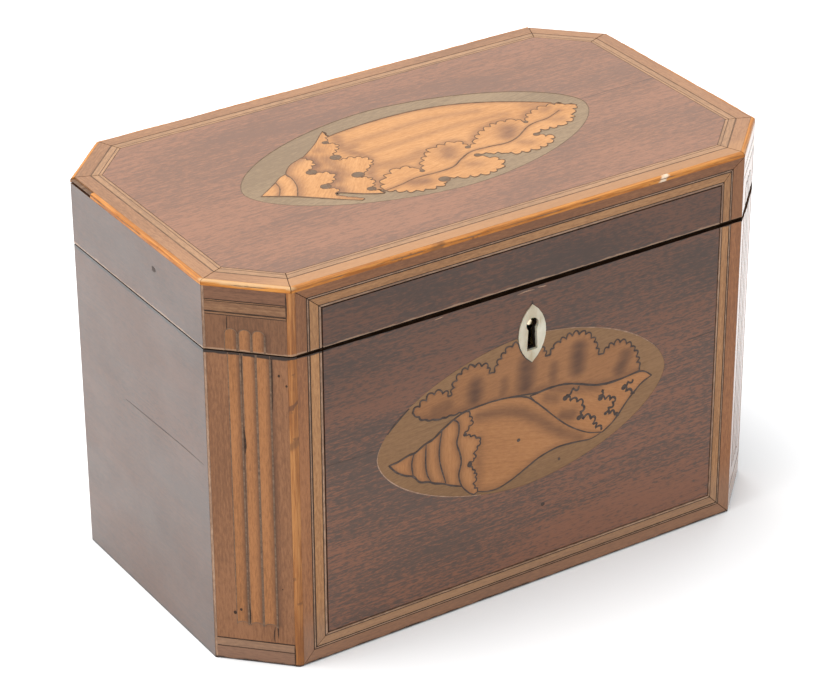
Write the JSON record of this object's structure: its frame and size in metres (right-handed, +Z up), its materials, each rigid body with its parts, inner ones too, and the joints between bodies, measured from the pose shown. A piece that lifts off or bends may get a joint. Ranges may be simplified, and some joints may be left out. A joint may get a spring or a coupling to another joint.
{
  "type": "tea caddy",
  "caption": "Octagonal-plan mahogany tea caddy with strung and crossbanded borders, shell ovals, a hinged locking lid and lidded, foil-lined tea compartments.",
  "frame": {"origin": "centre of the outline's underside, hinge knuckles and escutcheon included, on the surface it stands on", "axes": "+X to the right when facing the front, -Y out of the front, +Y towards the hinges, +Z up"},
  "size_m": [0.19, 0.1164, 0.123],
  "materials": {
    "mahogany": "polished mahogany veneer",
    "carcase_mahogany": "plain mahogany, unpolished",
    "crossbanding": "crossbanded veneer with boxwood and ebony stringing, polished",
    "boxwood": "worn boxwood stringing",
    "marquetry": "sand-shaded marquetry, polished",
    "bone": "bone, lightly polished",
    "brass": "aged brass",
    "steel": "filed steel",
    "lead_foil": "dull lead foil"
  },
  "bodies": {
    "case": {"bottom_board": "carcase_mahogany", "front_board": "carcase_mahogany", "right_board": "carcase_mahogany", "back_board": "carcase_mahogany", "left_board": "carcase_mahogany", "corner_post_front_left": "carcase_mahogany", "corner_post_front_right": "carcase_mahogany", "corner_post_back_left": "mahogany", "corner_post_back_right": "mahogany", "front_veneer": "mahogany", "left_veneer": "mahogany", "right_veneer": "mahogany", "back_veneer": "mahogany", "front_banding": "crossbanding", "fluted_corner_left": "crossbanding", "fluted_corner_right": "crossbanding", "front_patera": "marquetry", "escutcheon": "bone", "inner_lining": "carcase_mahogany", "divider": "carcase_mahogany", "foil_box_left": "lead_foil", "foil_box_right": "lead_foil", "hinge_case_leaf_left": "brass", "hinge_case_leaf_right": "brass", "hinge_pin_left": "brass", "hinge_pin_right": "brass", "hinge_screw_left_1": "brass", "hinge_screw_left_2": "brass", "hinge_screw_right_1": "brass", "hinge_screw_right_2": "brass", "lock_case": "brass"},
    "lid": {"lid_board": "carcase_mahogany", "lid_front_rail": "carcase_mahogany", "lid_right_rail": "carcase_mahogany", "lid_back_rail": "carcase_mahogany", "lid_left_rail": "carcase_mahogany", "lid_corner_front_left": "carcase_mahogany", "lid_corner_front_right": "carcase_mahogany", "lid_corner_back_left": "mahogany", "lid_corner_back_right": "mahogany", "lid_lining": "mahogany", "lid_veneer": "mahogany", "lid_patera": "marquetry", "lid_banding": "crossbanding", "lid_edge_stringing": "boxwood", "lid_front_veneer": "mahogany", "lid_front_banding": "crossbanding", "lid_left_veneer": "mahogany", "lid_right_veneer": "mahogany", "lid_back_veneer": "mahogany", "lid_fluted_corner_left": "crossbanding", "lid_fluted_corner_right": "crossbanding", "hinge_lid_leaf_left": "brass", "hinge_lid_leaf_right": "brass", "lock_link_plate": "brass"},
    "lock_bolt": {"lock_bolt": "steel"},
    "inner_lid_left": {"inner_lid_left": "mahogany", "inner_lid_knob_left": "bone"},
    "inner_lid_right": {"inner_lid_right": "mahogany", "inner_lid_knob_right": "bone"}
  },
  "joints": [
    {"name": "lid_hinge", "type": "hinge", "parent": "case", "child": "lid", "pos_m": [0, 0.05595, 0.1018], "axis": [-1, 0, 0], "range_deg": [0, 100]},
    {"name": "lock_bolt_slide", "type": "slide", "parent": "case", "child": "lock_bolt", "axis": [1, 0, 0], "range_m": [0, 0.004]},
    {"name": "inner_lid_left_lift", "type": "slide", "parent": "case", "child": "inner_lid_left", "axis": [0, 0, 1], "range_m": [0, 0.013]},
    {"name": "inner_lid_right_lift", "type": "slide", "parent": "case", "child": "inner_lid_right", "axis": [0, 0, 1], "range_m": [0, 0.013]}
  ]
}
